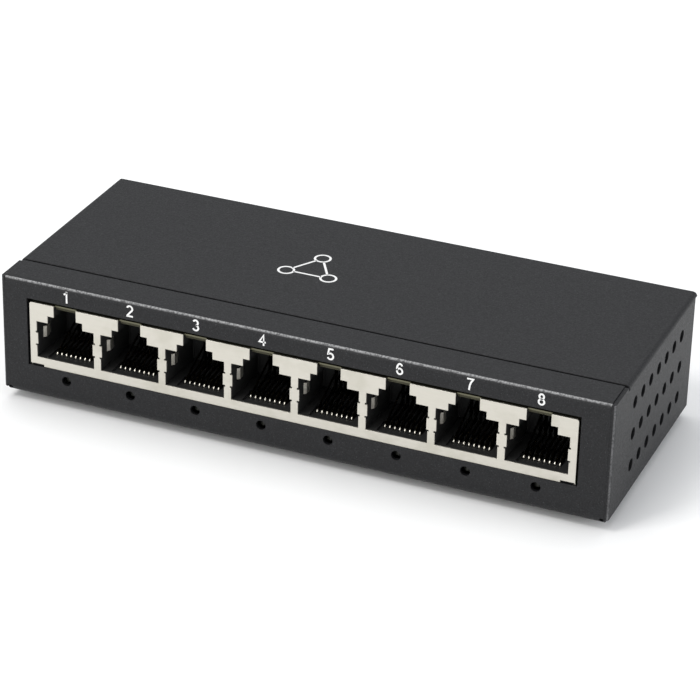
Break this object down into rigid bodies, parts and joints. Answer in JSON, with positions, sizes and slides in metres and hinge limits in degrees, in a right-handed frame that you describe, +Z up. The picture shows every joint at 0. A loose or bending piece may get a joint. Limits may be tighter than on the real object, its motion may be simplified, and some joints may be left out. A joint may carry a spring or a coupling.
{
  "type": "desktop network switch",
  "caption": "Small free-standing network switch: folded dark steel case, a row of shielded modular ports on the front, light holes below, side vents and rear power inlet.",
  "frame": {"origin": "on the resting surface, under the centre of the bounding box, which includes the feet and the rear screw heads", "axes": "+X right as seen from the ports, +Y from the ports to the rear, +Z up"},
  "size_m": [0.1262, 0.0526, 0.0272],
  "materials": {
    "dark_powder_coat": "fine textured dark grey powder coat",
    "black_screw": "black zinc plated steel",
    "zinc_steel": "bright zinc plated steel",
    "foot_rubber": "matt black rubber",
    "label_paper": "blank silver-white film label",
    "tin_plate": "warm tin plated shield",
    "black_nylon": "glass filled black nylon",
    "gold_plate": "gold plated phosphor bronze",
    "green_board": "green solder mask",
    "light_lens": "unlit clear epoxy light",
    "chip_epoxy": "moulded epoxy",
    "solder_tin": "tinned lead",
    "pad_silicone": "grey blue silicone pad",
    "black_aluminium": "black anodised extrusion",
    "bare_aluminium": "drawn aluminium can",
    "ferrite_grey": "ferrite",
    "resistor_black": "chip resistor",
    "ceramic_tan": "chip capacitor",
    "nickel_pin": "nickel plated brass"
  },
  "bodies": {
    "switch": {"base_chassis": "dark_powder_coat", "top_cover": "dark_powder_coat", "cover_screws": "black_screw", "board_screws": "zinc_steel", "board_standoffs": "zinc_steel", "rubber_feet": "foot_rubber", "rating_label": "label_paper", "jack_shield": "tin_plate", "jack_housing": "black_nylon", "port_insert_1": "black_nylon", "port_insert_2": "black_nylon", "port_insert_3": "black_nylon", "port_insert_4": "black_nylon", "port_insert_5": "black_nylon", "port_insert_6": "black_nylon", "port_insert_7": "black_nylon", "port_insert_8": "black_nylon", "contact_tails": "gold_plate", "circuit_board": "green_board", "port_light_1": "light_lens", "port_light_2": "light_lens", "port_light_3": "light_lens", "port_light_4": "light_lens", "port_light_5": "light_lens", "port_light_6": "light_lens", "port_light_7": "light_lens", "port_light_8": "light_lens", "line_transformer_1": "chip_epoxy", "line_transformer_2": "chip_epoxy", "line_transformer_3": "chip_epoxy", "line_transformer_4": "chip_epoxy", "transformer_leads": "solder_tin", "switch_chip": "chip_epoxy", "switch_chip_leads": "solder_tin", "thermal_pad": "pad_silicone", "heatsink": "black_aluminium", "regulator_chip": "chip_epoxy", "memory_chip": "chip_epoxy", "small_chip_leads": "solder_tin", "capacitor_bases": "black_nylon", "capacitor_cans": "bare_aluminium", "power_inductor": "ferrite_grey", "crystal_can": "zinc_steel", "chip_resistors": "resistor_black", "ceramic_capacitors": "ceramic_tan", "power_socket_body": "black_nylon", "power_socket_pin": "nickel_pin", "power_socket_leaf": "nickel_pin"},
    "port_1_contacts": {"port_springs_1": "gold_plate"},
    "port_2_contacts": {"port_springs_2": "gold_plate"},
    "port_3_contacts": {"port_springs_3": "gold_plate"},
    "port_4_contacts": {"port_springs_4": "gold_plate"},
    "port_5_contacts": {"port_springs_5": "gold_plate"},
    "port_6_contacts": {"port_springs_6": "gold_plate"},
    "port_7_contacts": {"port_springs_7": "gold_plate"},
    "port_8_contacts": {"port_springs_8": "gold_plate"}
  },
  "joints": [
    {"name": "port_1_contact_flex", "type": "hinge", "parent": "switch", "child": "port_1_contacts", "pos_m": [-0.04924, -0.0224, 0.0102], "axis": [-1, 0, 0], "range_deg": [0, 12], "stiffness_Nm_per_rad": 0.3},
    {"name": "port_2_contact_flex", "type": "hinge", "parent": "switch", "child": "port_2_contacts", "pos_m": [-0.03528, -0.0224, 0.0102], "axis": [-1, 0, 0], "range_deg": [0, 12], "stiffness_Nm_per_rad": 0.3},
    {"name": "port_3_contact_flex", "type": "hinge", "parent": "switch", "child": "port_3_contacts", "pos_m": [-0.02131, -0.0224, 0.0102], "axis": [-1, 0, 0], "range_deg": [0, 12], "stiffness_Nm_per_rad": 0.3},
    {"name": "port_4_contact_flex", "type": "hinge", "parent": "switch", "child": "port_4_contacts", "pos_m": [-0.00734, -0.0224, 0.0102], "axis": [-1, 0, 0], "range_deg": [0, 12], "stiffness_Nm_per_rad": 0.3},
    {"name": "port_5_contact_flex", "type": "hinge", "parent": "switch", "child": "port_5_contacts", "pos_m": [0.00664, -0.0224, 0.0102], "axis": [-1, 0, 0], "range_deg": [0, 12], "stiffness_Nm_per_rad": 0.3},
    {"name": "port_6_contact_flex", "type": "hinge", "parent": "switch", "child": "port_6_contacts", "pos_m": [0.0206, -0.0224, 0.0102], "axis": [-1, 0, 0], "range_deg": [0, 12], "stiffness_Nm_per_rad": 0.3},
    {"name": "port_7_contact_flex", "type": "hinge", "parent": "switch", "child": "port_7_contacts", "pos_m": [0.03458, -0.0224, 0.0102], "axis": [-1, 0, 0], "range_deg": [0, 12], "stiffness_Nm_per_rad": 0.3},
    {"name": "port_8_contact_flex", "type": "hinge", "parent": "switch", "child": "port_8_contacts", "pos_m": [0.04854, -0.0224, 0.0102], "axis": [-1, 0, 0], "range_deg": [0, 12], "stiffness_Nm_per_rad": 0.3}
  ]
}
